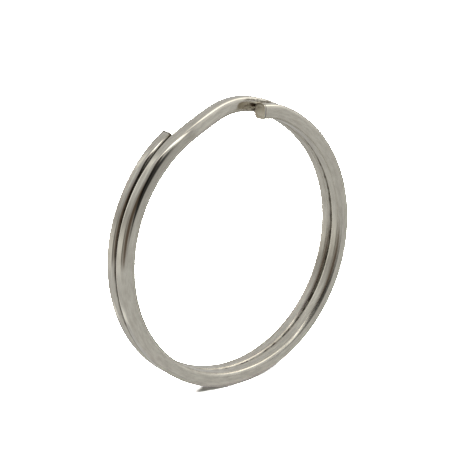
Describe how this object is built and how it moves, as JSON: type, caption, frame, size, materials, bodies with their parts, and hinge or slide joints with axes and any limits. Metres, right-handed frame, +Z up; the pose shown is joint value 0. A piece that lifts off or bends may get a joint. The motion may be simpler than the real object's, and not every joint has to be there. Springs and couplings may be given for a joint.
{
  "type": "split key ring",
  "caption": "Split key ring of flattened spring wire: coiled turns joined by a stepped crossover, with cut ends that spring open to let a key on.",
  "frame": {"origin": "centre of the ring, midway between its two turns", "axes": "+Y along the ring's axis towards the rear turn, so the front turn faces -Y; +X to the right seen from the front; +Z up, with the crossover near the top"},
  "size_m": [0.03, 0.003, 0.0302],
  "materials": {
    "wire": "nickel-plated drawn spring steel, semi-bright, with fine lines along the wire"
  },
  "bodies": {
    "coil_root": {"crossover": "wire", "front_turn": "wire", "rear_turn": "wire"},
    "front_flex_1": {"front_flex_1": "wire"},
    "front_flex_2": {"front_flex_2": "wire"},
    "front_flex_3": {"front_flex_3": "wire"},
    "front_flex_4": {"front_flex_4": "wire"},
    "front_flex_5": {"front_flex_5": "wire"},
    "front_end": {"front_end": "wire"},
    "rear_flex_1": {"rear_flex_1": "wire"},
    "rear_flex_2": {"rear_flex_2": "wire"},
    "rear_flex_3": {"rear_flex_3": "wire"},
    "rear_flex_4": {"rear_flex_4": "wire"},
    "rear_flex_5": {"rear_flex_5": "wire"},
    "rear_end": {"rear_end": "wire"}
  },
  "joints": [
    {"name": "front_open", "type": "hinge", "parent": "coil_root", "child": "front_flex_1", "pos_m": [-0.00234, -0.00078, -0.01401], "axis": [0.9863, 0, -0.165], "range_deg": [0, 2], "stiffness_Nm_per_rad": 0.005, "springref_deg": -2.86},
    {"name": "front_bend_2", "type": "hinge", "parent": "front_flex_1", "child": "front_flex_2", "pos_m": [0.00497, -0.00078, -0.0133], "axis": [0.9954, 0, 0.0958], "range_deg": [0, 1.93], "stiffness_Nm_per_rad": 0.005, "springref_deg": -2.77},
    {"name": "front_bend_3", "type": "hinge", "parent": "front_flex_2", "child": "front_flex_3", "pos_m": [0.01096, -0.00078, -0.00903], "axis": [0.9367, 0, 0.3502], "range_deg": [0, 1.73], "stiffness_Nm_per_rad": 0.005, "springref_deg": -2.48},
    {"name": "front_bend_4", "type": "hinge", "parent": "front_flex_3", "child": "front_flex_4", "pos_m": [0.01401, -0.00078, -0.00234], "axis": [0.8141, 0, 0.5807], "range_deg": [0, 1.41], "stiffness_Nm_per_rad": 0.005, "springref_deg": -2.03},
    {"name": "front_bend_5", "type": "hinge", "parent": "front_flex_4", "child": "front_flex_5", "pos_m": [0.0133, -0.00078, 0.00497], "axis": [0.6361, 0, 0.7716], "range_deg": [0, 1], "stiffness_Nm_per_rad": 0.005, "springref_deg": -1.43},
    {"name": "front_bend_6", "type": "hinge", "parent": "front_flex_5", "child": "front_end", "pos_m": [0.00903, -0.00078, 0.01096], "axis": [0.4147, 0, 0.91], "range_deg": [0, 0.5177], "stiffness_Nm_per_rad": 0.005, "springref_deg": -0.74},
    {"name": "rear_open", "type": "hinge", "parent": "coil_root", "child": "rear_flex_1", "pos_m": [0.00742, 0.00078, -0.01211], "axis": [-0.8526, 0, -0.5225], "range_deg": [0, 2], "stiffness_Nm_per_rad": 0.005, "springref_deg": -2.86},
    {"name": "rear_bend_2", "type": "hinge", "parent": "rear_flex_1", "child": "rear_flex_2", "pos_m": [0.00037, 0.00078, -0.01419], "axis": [-0.9588, 0, -0.284], "range_deg": [0, 1.93], "stiffness_Nm_per_rad": 0.005, "springref_deg": -2.77},
    {"name": "rear_bend_3", "type": "hinge", "parent": "rear_flex_2", "child": "rear_flex_3", "pos_m": [-0.00678, 0.00078, -0.01248], "axis": [-0.9997, 0, -0.0262], "range_deg": [0, 1.73], "stiffness_Nm_per_rad": 0.005, "springref_deg": -2.48},
    {"name": "rear_bend_4", "type": "hinge", "parent": "rear_flex_3", "child": "rear_flex_4", "pos_m": [-0.01211, 0.00078, -0.00742], "axis": [-0.9724, 0, 0.2334], "range_deg": [0, 1.41], "stiffness_Nm_per_rad": 0.005, "springref_deg": -2.03},
    {"name": "rear_bend_5", "type": "hinge", "parent": "rear_flex_4", "child": "rear_flex_5", "pos_m": [-0.01419, 0.00078, -0.00037], "axis": [-0.8788, 0, 0.4772], "range_deg": [0, 1], "stiffness_Nm_per_rad": 0.005, "springref_deg": -1.43},
    {"name": "rear_bend_6", "type": "hinge", "parent": "rear_flex_5", "child": "rear_end", "pos_m": [-0.01248, 0.00078, 0.00678], "axis": [-0.7254, 0, 0.6884], "range_deg": [0, 0.5177], "stiffness_Nm_per_rad": 0.005, "springref_deg": -0.74}
  ],
  "couplings": [
    {"joint": "front_bend_2", "follows": "front_open", "ratio": 0.96593},
    {"joint": "front_bend_3", "follows": "front_open", "ratio": 0.86603},
    {"joint": "front_bend_4", "follows": "front_open", "ratio": 0.70711},
    {"joint": "front_bend_5", "follows": "front_open", "ratio": 0.5},
    {"joint": "front_bend_6", "follows": "front_open", "ratio": 0.25882},
    {"joint": "rear_bend_2", "follows": "rear_open", "ratio": 0.96593},
    {"joint": "rear_bend_3", "follows": "rear_open", "ratio": 0.86603},
    {"joint": "rear_bend_4", "follows": "rear_open", "ratio": 0.70711},
    {"joint": "rear_bend_5", "follows": "rear_open", "ratio": 0.5},
    {"joint": "rear_bend_6", "follows": "rear_open", "ratio": 0.25882}
  ]
}
